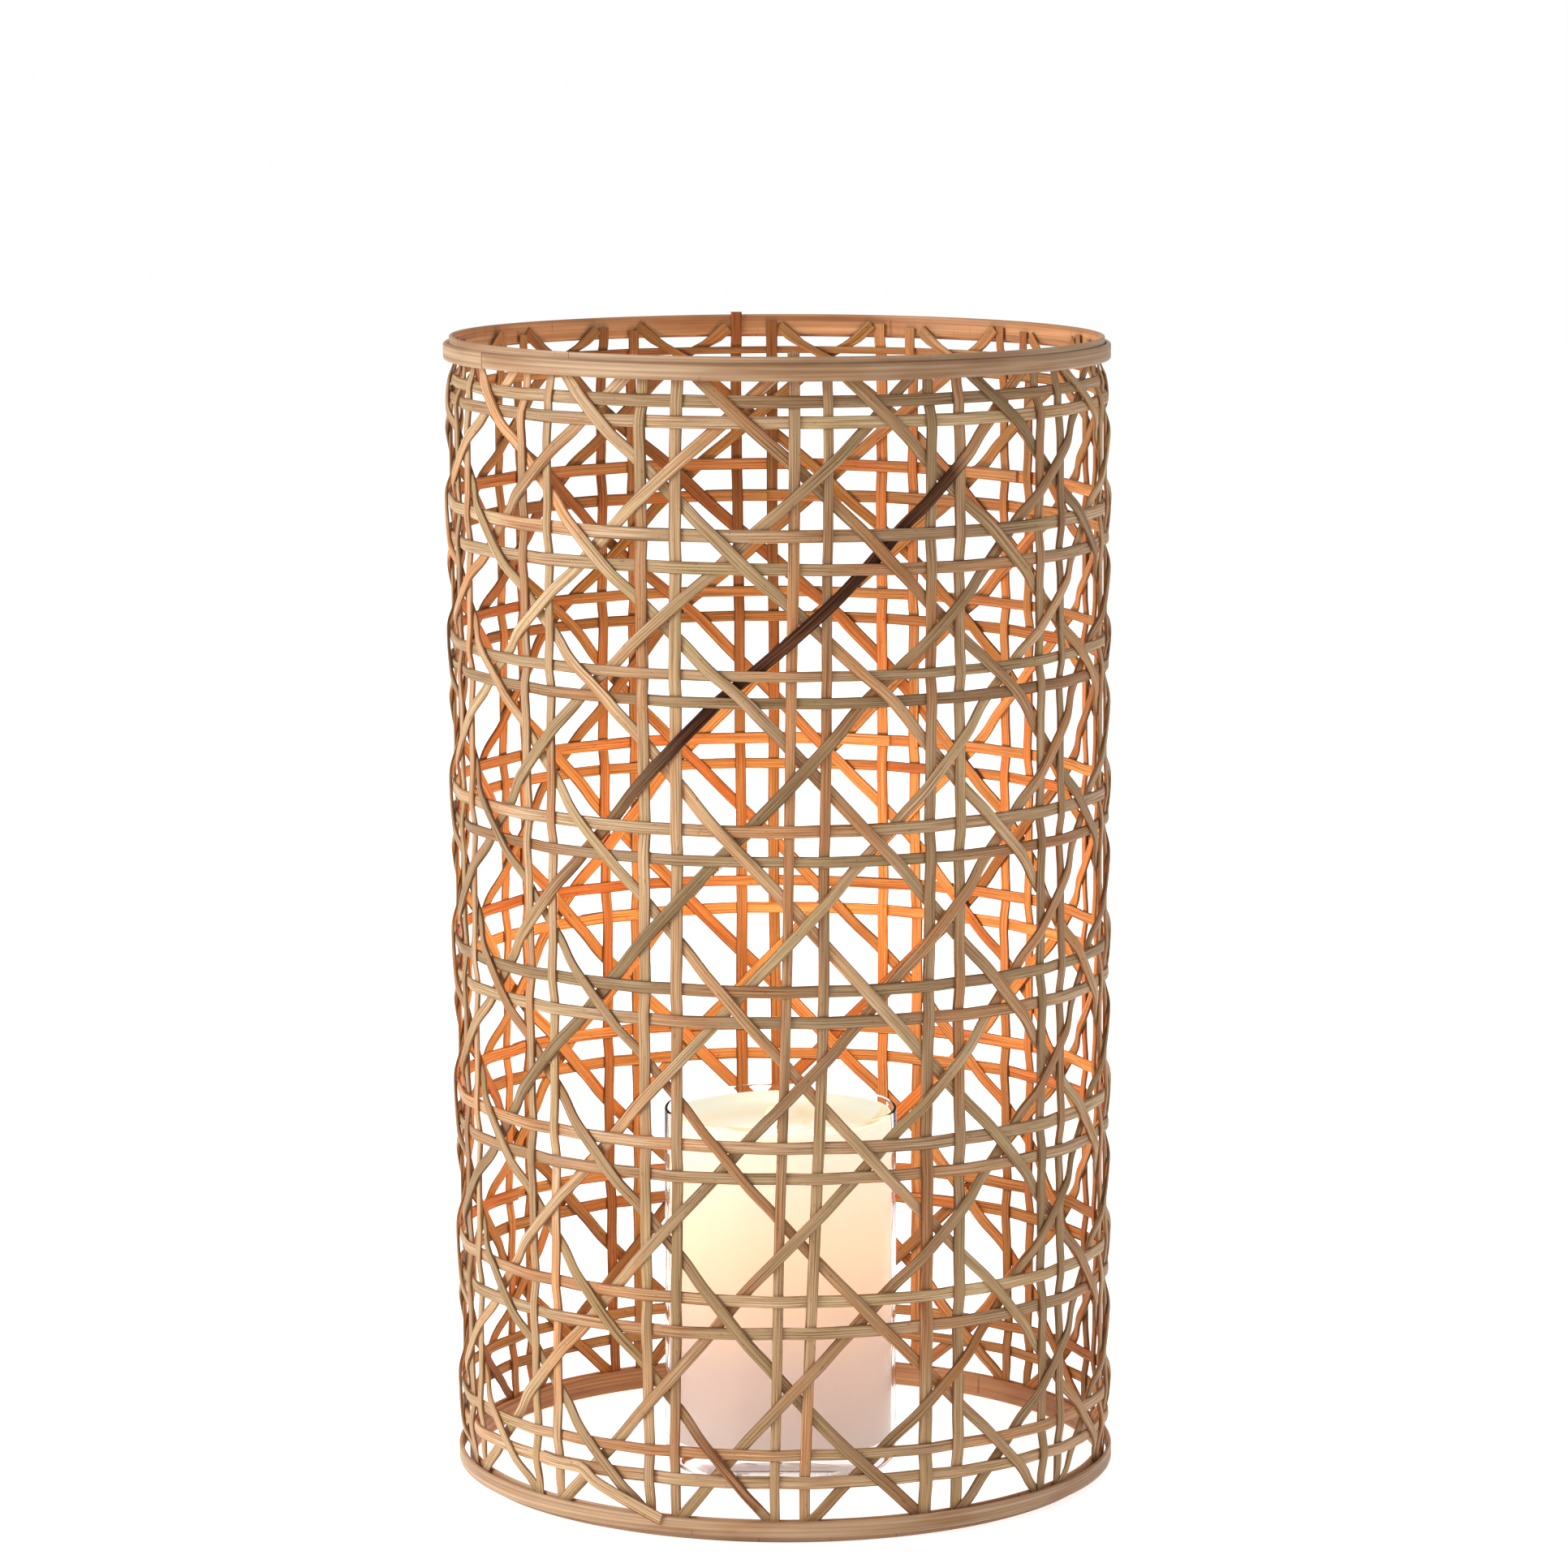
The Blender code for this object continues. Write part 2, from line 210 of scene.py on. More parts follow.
class NodeDesk:
    # a thin wrapper, so that each material reads top to bottom
    def __init__(self, name):
        self.material = bpy.data.materials.new(name)
        self.material.use_nodes = True
        self.tree = self.material.node_tree
        self.shader = self.tree.nodes["Principled BSDF"]

    def add(self, kind, **values):
        node = self.tree.nodes.new(kind)
        for key, value in values.items():
            setattr(node, key, value)
        return node

    def link(self, source, target):
        self.tree.links.new(source, target)

    def set(self, **values):
        for key, value in values.items():
            self.shader.inputs[key.replace("_", " ")].default_value = value

    def coords(self, kind, scale, location=(0, 0, 0)):
        source = self.add("ShaderNodeTexCoord")
        mapping = self.add("ShaderNodeMapping")
        mapping.inputs["Scale"].default_value = scale
        mapping.inputs["Location"].default_value = location
        self.link(source.outputs[kind], mapping.inputs["Vector"])
        return mapping.outputs["Vector"]

    def share(self, vector, axis, low, high):
        # where a vector's X, Y or Z lies between low and high, from 0 to 1
        split = self.add("ShaderNodeSeparateXYZ")
        self.link(vector, split.inputs[0])
        span = self.add("ShaderNodeMapRange")
        span.inputs["From Min"].default_value = low
        span.inputs["From Max"].default_value = high
        self.link(split.outputs[axis], span.inputs["Value"])
        return span.outputs["Result"]

    def noise(self, vector, detail=3.0, roughness=0.5):
        node = self.add("ShaderNodeTexNoise")
        node.inputs["Scale"].default_value = 1
        node.inputs["Detail"].default_value = detail
        node.inputs["Roughness"].default_value = roughness
        self.link(vector, node.inputs["Vector"])
        return node.outputs["Fac"]

    def ramp(self, factor, stops, mode="LINEAR"):
        node = self.add("ShaderNodeValToRGB")
        node.color_ramp.interpolation = mode
        elements = node.color_ramp.elements
        while len(elements) < len(stops):
            elements.new(0.5)
        for element, (place, color) in zip(elements, stops):
            element.position = place
            element.color = (*color, 1) if len(color) == 3 else (color[0], color[0], color[0], 1)
        self.link(factor, node.inputs["Fac"])
        return node.outputs["Color"]

    def blend(self, factor, first, second, mode="MIX"):
        node = self.add("ShaderNodeMix", data_type="RGBA", blend_type=mode)
        for value, socket in ((factor, node.inputs[0]), (first, node.inputs[6]), (second, node.inputs[7])):
            if isinstance(value, (int, float)):
                socket.default_value = value
            elif isinstance(value, tuple):
                socket.default_value = (*value, 1)
            else:
                self.link(value, socket)
        return node.outputs[2]

    def attribute(self, name):
        return self.add("ShaderNodeAttribute", attribute_name=name).outputs["Fac"]

    def bump(self, height, strength, distance):
        node = self.add("ShaderNodeBump")
        node.inputs["Strength"].default_value = strength
        node.inputs["Distance"].default_value = distance
        self.link(height, node.inputs["Height"])
        self.link(node.outputs["Normal"], self.shader.inputs["Normal"])


# scales are per metre of UV, along and across the strand
caneLook = {"grain": (26, 2300, 1), "patch": (5, 27, 1), "speck": (330, 900, 1), "hue": (11, 40, 1),
            "ragged": (60, 500, 1),
            "dark": (0.15, 0.066, 0.024), "mid": (0.47, 0.285, 0.140), "light": (0.80, 0.58, 0.375),
            "patchDark": (0.66, 0.63, 0.60), "patchMid": (0.98, 0.97, 0.96), "patchLight": (1.22, 1.25, 1.28),
            # inside is a painted tint of shade and flame light on the inner face
            "paleStrand": (1.18, 1.20, 1.24), "darkStrand": (0.58, 0.53, 0.44), "inside": (0.86, 0.66, 0.44),
            # edge, edgeShadeDepth and edgeShadeReach set the painted shade along the strand edges
            "edge": (0.40, 0.30, 0.21), "russet": (1.08, 0.80, 0.62), "khaki": (0.92, 0.96, 0.87),
            "spot": (0.42, 0.30, 0.22), "spotDepth": 0.55, "edgeShadeDepth": 0.85, "edgeShadeReach": 0.55,
            "roughness": (0.42, 0.66), "specular": 0.32, "stainSpecular": 0.12,
            "bump": 0.35, "bumpDepth": 0.00012}
stainLook = {"start": 0.047, "end": 0.275, "color": (0.026, 0.0055, 0.0025), "streak": (0.17, 0.060, 0.022)}
wornLook = {"start": 0.586, "end": 0.644, "color": (0.20, 0.075, 0.030), "streak": (0.50, 0.27, 0.14)}


def tinted(color, tint):
    return tuple(c * t for c, t in zip(color, tint))


def makeCane(name, tint=(1, 1, 1), stain=None):
    desk = NodeDesk(name)
    fine = desk.noise(desk.coords("UV", caneLook["grain"]), 4, 0.62)
    patch = desk.noise(desk.coords("UV", caneLook["patch"]), 2)
    speck = desk.noise(desk.coords("UV", caneLook["speck"], (3.1, 7.7, 0)), 2)
    dark, mid, light = (tinted(caneLook[key], tint) for key in ("dark", "mid", "light"))
    grain = desk.ramp(fine, [(0.30, dark), (0.47, mid), (0.72, light)])
    patches = [(0.30, caneLook["patchDark"]), (0.50, caneLook["patchMid"]), (0.72, caneLook["patchLight"])]
    color = desk.blend(1.0, grain, desk.ramp(patch, patches), "MULTIPLY")
    hue = desk.noise(desk.coords("UV", caneLook["hue"], (5.3, 1.9, 0)), 2)
    hues = desk.ramp(hue, [(0.34, caneLook["khaki"]), (0.50, (1, 1, 1)), (0.66, caneLook["russet"])])
    color = desk.blend(1.0, color, hues, "MULTIPLY")
    # painted shade: the edges are darker, in a ragged line, for the shading of the rounded section and the
    # contact shadows along them
    ragged = desk.noise(desk.coords("UV", caneLook["ragged"], (0.7, 4.1, 0)), 2)
    reach = desk.add("ShaderNodeMath", operation="MULTIPLY_ADD")
    desk.link(ragged, reach.inputs[0])
    reach.inputs[1].default_value = caneLook["edgeShadeReach"]
    desk.link(desk.attribute("edgeShare"), reach.inputs[2])
    rim = desk.ramp(reach.outputs[0], [(0.86, (0.0,)), (1.0, (caneLook["edgeShadeDepth"],))])
    color = desk.blend(rim, color, desk.blend(1.0, color, caneLook["edge"], "MULTIPLY"))
    spots = desk.ramp(speck, [(0.27, caneLook["spot"]), (0.36, (1, 1, 1))])
    color = desk.blend(caneLook["spotDepth"], color, spots, "MULTIPLY")
    tones = [(0.0, caneLook["darkStrand"]), (0.45, (1, 1, 1)), (1.0, caneLook["paleStrand"])]
    color = desk.blend(1.0, color, desk.ramp(desk.attribute("strandTone"), tones), "MULTIPLY")
    # painted shade and flame light: the inner face is darker and redder, for the shade inside the sleeve and
    # the flame's warm light on it
    inner = desk.blend(1.0, color, caneLook["inside"], "MULTIPLY")
    color = desk.blend(desk.attribute("innerFace"), color, inner)
    if stain:
        span = desk.share(desk.coords("UV", (1, 1, 1)), "X", stain["start"], stain["end"])
        depths = [(0.0, 0.0), (0.04, 0.95), (0.62, 1.0), (0.72, 0.62), (0.92, 0.45), (1.0, 0.0)]
        depth = desk.ramp(span, [(place, (value,)) for place, value in depths])
        streaks = desk.ramp(fine, [(0.48, stain["color"]), (0.62, stain["streak"])])
        color = desk.blend(depth, color, streaks)
    desk.link(color, desk.shader.inputs["Base Color"])
    low, high = caneLook["roughness"]
    desk.link(desk.ramp(fine, [(0.3, (high,)), (0.7, (low,))]), desk.shader.inputs["Roughness"])
    desk.set(Specular_IOR_Level=caneLook["stainSpecular" if stain else "specular"])
    desk.bump(fine, caneLook["bump"], caneLook["bumpDepth"])
    return desk.material


ringCane = makeCane("ringCane", (1.02, 1.03, 1.04))
uprightCane = makeCane("uprightCane", (1.0, 0.97, 0.93))
diagonalCane = makeCane("diagonalCane", (0.97, 0.97, 0.94))
stainedCane = makeCane("stainedCane", (0.90, 0.86, 0.82), stainLook)
wornCane = makeCane("wornCane", (0.97, 0.97, 0.94), wornLook)
print("cane materials ready")


def ringHeight(pair, side):
    low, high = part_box(f"ring_cane_{pair}_{side}")
    return (low.z + high.z) / 2


def uprightAngle(number):
    low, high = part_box(f"upright_cane_{number:02d}")
    middle = (low + high) / 2
    return math.atan2(middle.y, middle.x)


pairsUp = sum(f"ring_cane_{n}_lower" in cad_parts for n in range(1, 20))
pairsAround = sum(f"upright_cane_{n:02d}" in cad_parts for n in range(1, 40))
lowerHeights = np.array([ringHeight(n, "lower") for n in range(1, pairsUp + 1)])
upperHeights = np.array([ringHeight(n, "upper") for n in range(1, pairsUp + 1)])
pairHeights = (lowerHeights + upperHeights) / 2
pairAngle = 2 * math.pi / pairsAround
frontAngle = uprightAngle(1)
topBackingLow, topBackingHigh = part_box("top_backing_hoop")
bottomBackingLow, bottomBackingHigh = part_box("bottom_backing_hoop")
topOuterLow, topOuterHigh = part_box("top_outer_hoop")
bottomOuterLow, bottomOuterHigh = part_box("bottom_outer_hoop")

weave = {"thickness": 0.0009, "width": 0.0042, "crown": 0.0003, "gap": 0.00003, "edge": 0.00034,
         "bodyRadius": 0.1163, "tuckedRadius": 0.1137, "footRadius": 0.1153, "topRun": 0.019,
         "footRun": 0.013, "step": 0.0026, "grainShift": 0.037, "innerGrain": 0.011,
         "squeeze": 0.62, "squeezeRun": 0.008, "legHalf": 0.00625, "levelPast": 0.009,
         "ringWobble": 0.0006, "uprightWobble": 0.0004, "diagonalWobble": 0.0004,
         "widthSpread": 0.08, "tilt": 0.05}
layer = weave["thickness"] + weave["crown"] + weave["gap"]

# how the hand-laid weave strays from an even one. Lists run up from the lowest ring pair
stray = {"turn": 0.0728, "pull": 0.045, "ends": 0.0022,
         "gaps": (0.0100, 0.0114, 0.0112, 0.0111, 0.0097, 0.0088, 0.0118, 0.0073),
         "shift": (0, -0.0006, -0.0008, -0.0005, 0.0004, 0, -0.0010, 0),
         "backLift": (-0.0025, -0.0013, -0.0005, 0.0003, 0.0010, 0.0032, 0.0050, 0.0036),
         "twist": (-0.058, 0.002, 0.032), "twistAt": 0.10, "twistWide": 0.38,
         "leanFoot": 0.00175, "leanTop": -0.0013}


def settle(angle, height):
    turn = angle - frontAngle + stray["turn"]
    half = (np.array(stray["gaps"]) - (upperHeights - lowerHeights)) / 2
    ends = (bottomBackingHigh.z + stray["ends"], topBackingLow.z - stray["ends"])
    places = np.concatenate([[ends[0]], np.ravel([lowerHeights, upperHeights], "F"), [ends[1]]])
    shifts = np.concatenate([[0], np.ravel([stray["shift"] - half, stray["shift"] + half], "F"), [0]])
    lifts = np.concatenate([[0], stray["backLift"], [0]])
    lift = np.interp(height, np.concatenate([[ends[0]], pairHeights, [ends[1]]]), lifts)
    middle = (topBackingHigh.z + bottomBackingLow.z) / 2
    aside = np.mod(turn - stray["twistAt"] + math.pi, 2 * math.pi) - math.pi
    near = np.exp(-(aside / stray["twistWide"]) ** 2)
    twist = np.interp(height, [lowerHeights[0], middle, upperHeights[-1]], stray["twist"])
    return (angle - stray["pull"] * np.sin(turn) + near * twist,
            height + np.interp(height, places, shifts) + lift * (1 - np.cos(turn)) / 2)


def leanAt(height):
    return stray["leanFoot"] + (stray["leanTop"] - stray["leanFoot"]) * height / topBackingHigh.z


def pairHeightAt(count):
    # height of ring pair `count`, from 0 at the lowest, also between the pairs and past the ends
    count = np.asarray(count, float)
    last = pairsUp - 1
    inside = np.interp(count, np.arange(pairsUp), pairHeights)
    below = pairHeights[0] + count * (pairHeights[1] - pairHeights[0])
    above = pairHeights[last] + (count - last) * (pairHeights[last] - pairHeights[last - 1])
    return np.where(count < 0, below, np.where(count > last, above, inside))


def sleeveRadius(height):
    high = smoothStep((height - topOuterLow.z) / weave["topRun"] + 1)
    low = smoothStep((bottomOuterHigh.z - height) / weave["footRun"] + 1)
    body = weave["bodyRadius"]
    return body + (weave["tuckedRadius"] - body) * high + (weave["footRadius"] - body) * low


def squeezeAt(height):
    # the strands are pressed flat at the hoops
    run = weave["squeezeRun"]
    near = np.maximum(bottomOuterHigh.z - height, height - topOuterLow.z)
    return 1 - weave["squeeze"] * smoothStep(near / run + 1)


def crown(strand, width, height):
    # the outer face stands a little higher along its middle
    points = readPoints(strand.data)
    bulge = 1 - np.clip(np.abs(points[:, 1]) / (width / 2), 0, 1) ** 2
    points[:, 2] += np.where(points[:, 2] > 0, bulge * height, 0)
    writePoints(strand.data, points)


def straightStrand(name, length, width, thickness, edge, step, segments=2):
    dropSelection()
    bpy.ops.mesh.primitive_cube_add(size=1, location=(length / 2, 0, 0))
    strand = bpy.context.active_object
    strand.name = name
    bpy.ops.object.mode_set(mode="EDIT")
    bpy.ops.mesh.select_all(action="SELECT")
    bpy.ops.transform.resize(value=(length, width, thickness))
    bpy.ops.mesh.select_mode(type="EDGE")
    selectEdges(strand, isLengthwise)
    bpy.ops.mesh.bevel(offset=edge, segments=segments, affect="EDGES")
    selectEdges(strand, lambda a, b: abs(a.y - b.y) > width / 2 and abs(a.x - b.x) < 1e-6)
    bpy.ops.mesh.subdivide(number_cuts=3)
    cuts = max(1, round(length / step) - 1)
    # one subdivision makes at most 100 cuts, so a long strand is cut in two rounds
    rounds = [cuts] if cuts <= 90 else [round(math.sqrt(cuts + 1)) - 1] * 2
    for number in rounds:
        selectEdges(strand, isLengthwise)
        bpy.ops.mesh.subdivide(number_cuts=number)
    bpy.ops.object.mode_set(mode="OBJECT")
    applyPlace(strand)
    return strand


def isLengthwise(a, b):
    return abs(a.x - b.x) > 10 * (abs(a.y - b.y) + abs(a.z - b.z))


def caneBlank(name, length):
    blank = straightStrand(name, length, weave["width"], weave["thickness"], weave["edge"], weave["step"])
    crown(blank, weave["width"], weave["crown"])
    return blank


def lay(strand, path, radiusAt, uvShift, widen=None, thin=None, squeezed=True):
    # path holds arrays of angle, height, offset from the sleeve's radius, and tilt
    mesh = strand.data
    points = readPoints(mesh)
    length = points[:, 0].max()
    angle, height, offset = (np.asarray(path[key], float) for key in ("angle", "height", "offset"))
    tilt = np.asarray(path.get("tilt", np.zeros(len(angle))), float)
    flat = radiusAt(height) * angle
    rise = np.diff(height)
    run = np.diff(angle) * (radiusAt(height)[1:] + radiusAt(height)[:-1]) / 2
    reach = np.concatenate([[0], np.cumsum(np.hypot(run, rise))])
    along = points[:, 0] / length * reach[-1]
    layUv(mesh, points, along, uvShift)
    across = points[:, 1] * (1 if widen is None else widen(along / reach[-1]))
    thick = points[:, 2] * (1 if thin is None else thin(along / reach[-1]))
    middle = (reach[1:] + reach[:-1]) / 2
    span = np.maximum(np.hypot(run, rise), 1e-9)
    runAt = np.interp(along, middle, run / span)
    riseAt = np.interp(along, middle, rise / span)
    size = np.hypot(runAt, riseAt)
    runAt, riseAt = runAt / size, riseAt / size
    heightHere = np.interp(along, reach, height) + across * runAt
    radiusHere = radiusAt(heightHere)
    angleHere = np.interp(along, reach, angle) - across * riseAt / radiusHere
    pressed = squeezeAt(heightHere) if squeezed else 1
    rise = np.interp(along, reach, offset) + thick + across * np.interp(along, reach, tilt)
    out = radiusHere + rise * pressed
    angleHere, heightHere = settle(angleHere, heightHere)
    aside = out * np.cos(angleHere) + leanAt(heightHere)
    writePoints(mesh, np.stack([aside, out * np.sin(angleHere), heightHere], 1))


def layUv(mesh, points, along, shift):
    # lengthwise and crosswise metres, so that the grain follows the strand
    uvLayer = mesh.uv_layers.active or mesh.uv_layers.new(name="UVMap")
    corners = np.empty(len(mesh.loops), np.int32)
    mesh.loops.foreach_get("vertex_index", corners)
    # the inner faces get a painted tint of shade and flame light in the cane and hoop materials
    inner = points[:, 2] < 0
    crosswise = points[:, 1] + np.where(inner, weave["innerGrain"], 0) + shift
    uvLayer.data.foreach_set("uv", np.stack([along, crosswise], 1)[corners].astype(np.float32).ravel())
    tone = random.Random(round(shift * 1000)).betavariate(2.2, 2.0)
    half = np.abs(points[:, 1]).max()
    # edgeShare places the painted shade along the strand edges
    marks = {"innerFace": inner, "strandTone": np.full(len(points), tone),
             "edgeShare": np.abs(points[:, 1]) / half * 0.72}
    for name, values in marks.items():
        attribute = mesh.attributes.new(name, "FLOAT", "POINT")
        attribute.data.foreach_set("value", values.astype(np.float32))


def strandWidth(rng):
    wave = slowWave(weave["widthSpread"] * 0.5, 3, rng)
    base = 1 + rng.uniform(-1, 1) * weave["widthSpread"]
    return lambda share: base + wave(share * 9)


def strandTilt(count, rng):
    wave = slowWave(weave["tilt"], 3, rng)
    return wave(np.linspace(0, 6, count))


def finishStrand(strand, material, node):
    strand.data.materials.clear()
    strand.data.materials.append(material)
    smoothShade(strand, 60)
    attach(strand, "sleeve")
    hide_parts(node)


ringLook = {"length": 0.752, "lap": 0.022, "level": 3.4, "joints": (35, 145), "points": 900}
ringTail = {"pair": 1, "side": "lower", "start": -143, "dive": -134.5, "end": -115.6, "drop": 0.0140,
            "clear": 0.0007, "crossed": 0.34}
legAngle = weave["legHalf"] / weave["bodyRadius"]
ringBlank = caneBlank("ringBlank", ringLook["length"])


def ringOffset(angle, side):
    # outside at one upright of each pair, inside at the other, and midway where the diagonals cross
    sign = 1 if side == "upper" else -1
    turn = np.mod(angle - frontAngle + pairAngle / 2, pairAngle) - pairAngle / 2
    half = pairAngle / 2
    rest = math.radians(ringLook["level"])
    places = np.array([-half, -half + rest, -legAngle, legAngle, half - rest, half])
    values = np.array([0, 0, sign, -sign, 0, 0]) * layer / 2
    return easeThrough(turn, places, values)


def makeRing(pair, side, number):
    rng = random.Random(100 + number)
    strand = copyOf(ringBlank, f"ringCane{pair}{side.capitalize()}")
    start = math.radians(rng.uniform(*ringLook["joints"]))
    lapTurn = ringLook["lap"] / weave["bodyRadius"]
    tailed = pair == ringTail["pair"] and side == ringTail["side"]
    if tailed:
        start = math.radians(ringTail["start"])
        lapTurn = math.radians(ringTail["end"] - ringTail["start"])
    angle = np.linspace(start, start + 2 * math.pi + lapTurn, ringLook["points"])
    wobble = slowWave(weave["ringWobble"], 4, rng)
    height = ringHeight(pair, side) + wobble(angle)
    into = smoothStep((angle - start - lapTurn * 0.9) / (lapTurn * 0.8))
    outOf = smoothStep((angle - (start + 2 * math.pi - lapTurn * 0.7)) / (lapTurn * 0.8))
    offset = ringOffset(angle, side) - (1 - into) * layer * 0.5 + outOf * layer * 0.5
    if tailed:
        # its end comes loose and slants down over the outside of the bottom hoop
        span = math.radians(ringTail["end"] - ringTail["dive"])
        loose = np.clip((angle - (angle[-1] - span)) / span, 0, 1)
        height = height - ringTail["drop"] * loose * smoothStep(loose * 4)
        over = bottomOuterHigh.x + ringTail["clear"] - sleeveRadius(height)
        offset = offset + (over - offset) * smoothStep(loose / ringTail["crossed"])
    path = {"angle": angle, "height": height, "offset": offset, "tilt": strandTilt(len(angle), rng)}
    lay(strand, path, sleeveRadius, weave["grainShift"] * number, strandWidth(rng), squeezed=not tailed)
    finishStrand(strand, ringCane, f"ring_cane_{pair}_{side}")


number = 0
for pair in range(1, pairsUp + 1):
    for side in ("lower", "upper"):
        makeRing(pair, side, number)
        number += 1
print("rings woven", number)


# each pair of uprights is one strand, folded between the bottom hoops
uprightLook = {"length": 0.83, "points": 420, "foldPoints": 40, "level": 0.0092, "sway": 14,
               "grainStart": 0.7, "topDrop": 0.0036, "topSpread": 0.0014,
               "proud": {(1, -1): 0.0013, (8, 1): 0.0012},
               "foldHalf": 0.0055, "foldFoot": 0.0038, "foldDrop": 0.0030, "narrowing": 0.12}
uprightBlank = caneBlank("uprightBlank", uprightLook["length"])


def uprightOffset(height, leg):
    # leg is -1 for the left one seen from outside. It lies under each upper ring and over each lower one
    rest, past = uprightLook["level"], weave["levelPast"]
    places = [-1.0, lowerHeights[0] - past]
    values = [0, 0]
    for index in range(pairsUp):
        if index:
            middle = (pairHeights[index] + pairHeights[index - 1]) / 2
            places += [middle - rest, middle + rest]
            values += [0, 0]
        places += [lowerHeights[index], upperHeights[index]]
        values += [-leg, leg]
    places += [upperHeights[-1] + past, 1.0]
    values += [0, 0]
    return easeThrough(height, np.array(places), np.array(values) * layer / 2)


def makeUpright(number):
    rng = random.Random(300 + number)
    strand = copyOf(uprightBlank, f"uprightCane{number:02d}")
    middle = uprightAngle(number)
    fold = uprightLook["foldHalf"] * rng.uniform(0.95, 1.08)
    foot = uprightLook["foldFoot"] + uprightLook["foldDrop"]
    pieces = []
    for leg in (-1, 1):
        top = topBackingHigh.z - uprightLook["topDrop"] + rng.uniform(-1, 1) * uprightLook["topSpread"]
        if (number, leg) in uprightLook["proud"]:
            top = topBackingHigh.z + uprightLook["proud"][number, leg]
        height = np.linspace(top, foot, uprightLook["points"])
        sway = slowWave(weave["uprightWobble"], 5, rng)
        spread = smoothStep((height - foot) / uprightLook["narrowing"])
        half = fold + (legAngle * weave["bodyRadius"] - fold) * spread
        angle = middle + (leg * half + sway(height * uprightLook["sway"]) * spread) / weave["bodyRadius"]
        pieces.append((angle, height, uprightOffset(height, leg)))
    turn = np.linspace(0, math.pi, uprightLook["foldPoints"])[1:-1]
    foldAngle = middle - fold * np.cos(turn) / weave["bodyRadius"]
    foldHeight = foot - uprightLook["foldDrop"] * np.sin(turn)
    (leftAngle, leftHeight, leftOffset), (rightAngle, rightHeight, rightOffset) = pieces
    angle = np.concatenate([leftAngle, foldAngle, rightAngle[::-1]])
    height = np.concatenate([leftHeight, foldHeight, rightHeight[::-1]])
    offset = np.concatenate([leftOffset, np.zeros(len(turn)), rightOffset[::-1]])
    path = {"angle": angle, "height": height, "offset": offset, "tilt": strandTilt(len(angle), rng)}
    grain = uprightLook["grainStart"] + weave["grainShift"] * number
    lay(strand, path, sleeveRadius, grain, strandWidth(rng))
    finishStrand(strand, uprightCane, f"upright_cane_{number:02d}")


for number in range(1, pairsAround + 1):
    makeUpright(number)
print("uprights woven", pairsAround)


# each V is one strand, folded between the bottom hoops
diagonalLook = {"length": 1.18, "points": 1300, "sway": 0.8, "grainStart": 1.4, "flatness": 1.6,
                "topDrop": 0.0036, "topSpread": 0.0014, "foldRound": 0.0052, "foldPower": 4, "foldTurn": 0.07,
                "stained": 9, "worn": 1}
diagonalBlank = caneBlank("diagonalBlank", diagonalLook["length"])


def diagonalOffset(share):
    # the leg that climbs right lies outside the uprights and inside the rings, the other leg the reverse
    wave = np.clip(diagonalLook["flatness"] * np.cos(2 * math.pi * np.abs(share)), -1, 1)
    wave = np.sin(wave * math.pi / 2)
    return layer * wave * np.clip(share / diagonalLook["foldTurn"], -1, 1)


def makeDiagonal(number):
    rng = random.Random(500 + number)
    strand = copyOf(diagonalBlank, f"diagonalCane{number:02d}")
    apex = float(pairHeightAt(-0.5))
    ends = []
    for leg in (1, -1):
        top = topBackingHigh.z - diagonalLook["topDrop"] + rng.uniform(-1, 1) * diagonalLook["topSpread"]
        last = pairsUp - 1
        pitch = pairHeights[last] - pairHeights[last - 1]
        ends.append(leg * (last + (top - pairHeights[last]) / pitch + 0.5))
    share = np.linspace(ends[0], ends[1], diagonalLook["points"])
    straight = pairHeightAt(np.abs(share) - 0.5) - apex
    power = diagonalLook["foldPower"]
    height = apex + (straight ** power + diagonalLook["foldRound"] ** power) ** (1 / power)
    sway = slowWave(weave["diagonalWobble"], 6, rng)
    calm = smoothStep((np.abs(share) - 0.2) / 0.8)
    aside = sway(share * diagonalLook["sway"]) * calm / weave["bodyRadius"]
    angle = uprightAngle(number) + pairAngle * share + aside
    offset = diagonalOffset(share)
    path = {"angle": angle, "height": height, "offset": offset, "tilt": strandTilt(len(angle), rng)}
    grain = diagonalLook["grainStart"] + weave["grainShift"] * number
    lay(strand, path, sleeveRadius, grain, strandWidth(rng))
    special = {diagonalLook["stained"]: stainedCane, diagonalLook["worn"]: wornCane}
    material = special.get(number, diagonalCane)
    finishStrand(strand, material, f"diagonal_cane_{number:02d}")


for number in range(1, pairsAround + 1):
    makeDiagonal(number)
for blank in (ringBlank, uprightBlank, diagonalBlank):
    bpy.data.objects.remove(blank)
print("diagonals woven", pairsAround)


hoopLook = {"lap": 0.062, "lapShift": 0.47, "scarf": 0.24, "wobble": 0.0003, "step": 0.0034, "points": 900,
            "outerEdge": 0.0008, "backingEdge": 0.0005, "outerThick": 0.0020, "backingThick": 0.0013,
            "footInset": 0.0014, "footRise": 0.0006, "footLift": 0.0002, "footThinning": 0.8,
            "footOut": 0.0003, "grainStart": 3, "grainShift": 0.05,
            "dark": (0.33, 0.185, 0.092), "mid": (0.47, 0.285, 0.158), "light": (0.64, 0.44, 0.275),
            "broadDark": (0.76, 0.70, 0.64), "broadLight": (1.14, 1.16, 1.18), "scar": (0.45, 0.30, 0.20),
            # inside tints the inner face warmer, painted flame light and shade
            "patchDark": (0.80, 0.68, 0.56), "patchLight": (1.10, 1.12, 1.12), "inside": (1.06, 0.86, 0.66),
            "roughness": (0.40, 0.58), "specular": 0.45, "bump": 0.22, "bumpDepth": 0.0001}


